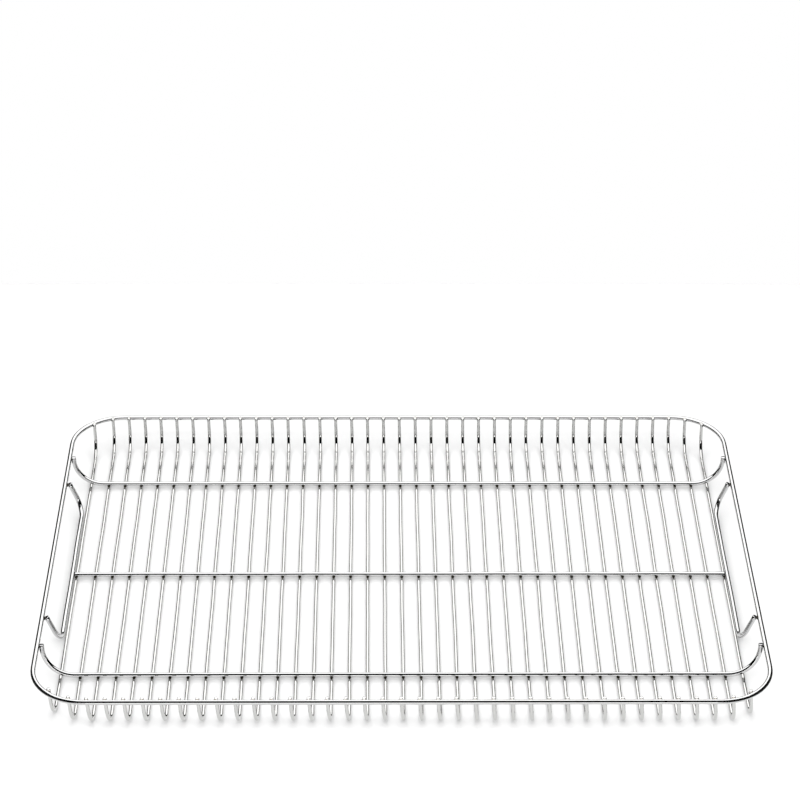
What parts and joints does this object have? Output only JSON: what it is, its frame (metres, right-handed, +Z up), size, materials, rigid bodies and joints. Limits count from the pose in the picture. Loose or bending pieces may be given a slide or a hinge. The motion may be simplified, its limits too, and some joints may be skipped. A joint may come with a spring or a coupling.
{
  "type": "cooling rack",
  "caption": "Rectangular wire cooling rack with a raised rounded rim, a basket floor of thin parallel wires, heavy cross wires and a handle guard with a finger gap at each end.",
  "frame": {"origin": "centre of the footprint, on the surface that the rack stands on", "axes": "+X along the rack from the left handle gap to the right one, +Y from front to back along the thin wires, +Z up"},
  "size_m": [0.432, 0.305, 0.0233],
  "materials": {
    "heavy_wire": "bright polished stainless steel wire",
    "thin_wire": "bright polished stainless steel wire"
  },
  "bodies": {
    "root": {"rim": "heavy_wire", "cross_front": "heavy_wire", "cross_middle": "heavy_wire", "cross_back": "heavy_wire", "guard_left": "heavy_wire", "guard_right": "heavy_wire", "wire_01": "thin_wire", "wire_02": "thin_wire", "wire_03": "thin_wire", "wire_04": "thin_wire", "wire_05": "thin_wire", "wire_06": "thin_wire", "wire_07": "thin_wire", "wire_08": "thin_wire", "wire_09": "thin_wire", "wire_10": "thin_wire", "wire_11": "thin_wire", "wire_12": "thin_wire", "wire_13": "thin_wire", "wire_14": "thin_wire", "wire_15": "thin_wire", "wire_16": "thin_wire", "wire_17": "thin_wire", "wire_18": "thin_wire", "wire_19": "thin_wire", "wire_20": "thin_wire", "wire_21": "thin_wire", "wire_22": "thin_wire", "wire_23": "thin_wire", "wire_24": "thin_wire", "wire_25": "thin_wire", "wire_26": "thin_wire", "wire_27": "thin_wire", "wire_28": "thin_wire", "wire_29": "thin_wire", "wire_30": "thin_wire", "wire_31": "thin_wire", "wire_32": "thin_wire", "wire_33": "thin_wire", "wire_34": "thin_wire", "wire_35": "thin_wire", "wire_36": "thin_wire", "wire_37": "thin_wire", "wire_38": "thin_wire", "wire_39": "thin_wire"}
  },
  "joints": []
}
